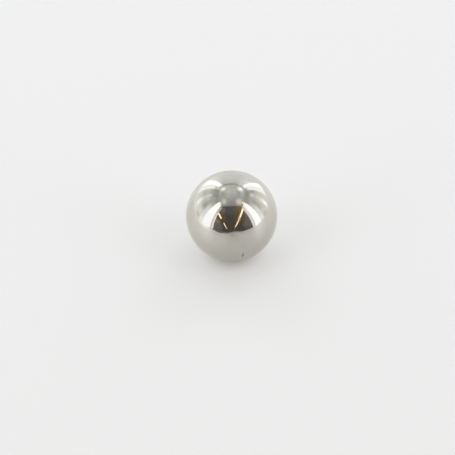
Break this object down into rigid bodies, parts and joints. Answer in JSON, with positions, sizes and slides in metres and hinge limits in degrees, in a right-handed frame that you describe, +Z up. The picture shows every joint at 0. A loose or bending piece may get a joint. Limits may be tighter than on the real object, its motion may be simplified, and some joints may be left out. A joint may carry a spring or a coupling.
{
  "type": "steel ball",
  "caption": "Small solid steel ball, polished to a mirror, for a bearing, detent, valve seat or gauge.",
  "frame": {"origin": "centre of the ball", "axes": "the ball looks the same from every side; +Z is up, and the ball's lowest point, which meets its seat, is on -Z"},
  "size_m": [0.01, 0.01, 0.01],
  "materials": {
    "polished_steel": "lapped and polished to a mirror, bare metal"
  },
  "bodies": {
    "root": {"ball": "polished_steel"}
  },
  "joints": []
}
